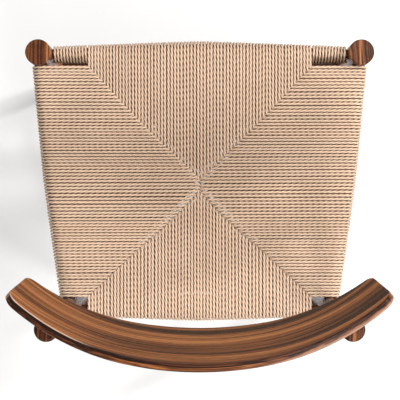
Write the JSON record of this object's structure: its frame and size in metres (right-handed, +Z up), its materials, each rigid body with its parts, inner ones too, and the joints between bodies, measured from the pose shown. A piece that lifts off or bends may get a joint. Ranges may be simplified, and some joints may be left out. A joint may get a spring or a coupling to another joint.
{
  "type": "dining chair",
  "caption": "Armless wooden dining chair with turned legs and spindle stretchers, a curved wrap-round backrest panel and an envelope-woven paper cord seat.",
  "frame": {"origin": "on the floor, under the centre of the chair's overall box", "axes": "+Z up; the sitter faces -Y, so the backrest is at +Y; +X is the sitter's left"},
  "size_m": [0.4804, 0.4181, 0.765],
  "materials": {
    "walnut": "satin",
    "paper_cord": "matte",
    "card": "matte",
    "steel": "satin",
    "nylon": "matte"
  },
  "bodies": {
    "root": {"backrest": "walnut", "backrest_screws": "steel", "cord_tacks": "steel", "front_leg_left": "walnut", "front_leg_right": "walnut", "front_seat_rail": "walnut", "front_stretcher": "walnut", "front_wrap_left": "paper_cord", "front_wrap_right": "paper_cord", "glide_front_left": "nylon", "glide_front_right": "nylon", "glide_rear_left": "nylon", "glide_rear_right": "nylon", "left_lower_stretcher": "walnut", "left_seat_rail": "walnut", "left_upper_stretcher": "walnut", "rear_leg_left": "walnut", "rear_leg_right": "walnut", "rear_seat_rail": "walnut", "rear_stretcher": "walnut", "right_lower_stretcher": "walnut", "right_seat_rail": "walnut", "right_upper_stretcher": "walnut", "screw_plugs": "walnut", "seat_packing_front": "card", "seat_packing_left": "card", "seat_packing_rear": "card", "seat_packing_right": "card", "weave_front": "paper_cord", "weave_left": "paper_cord", "weave_rear": "paper_cord", "weave_right": "paper_cord"}
  },
  "joints": []
}
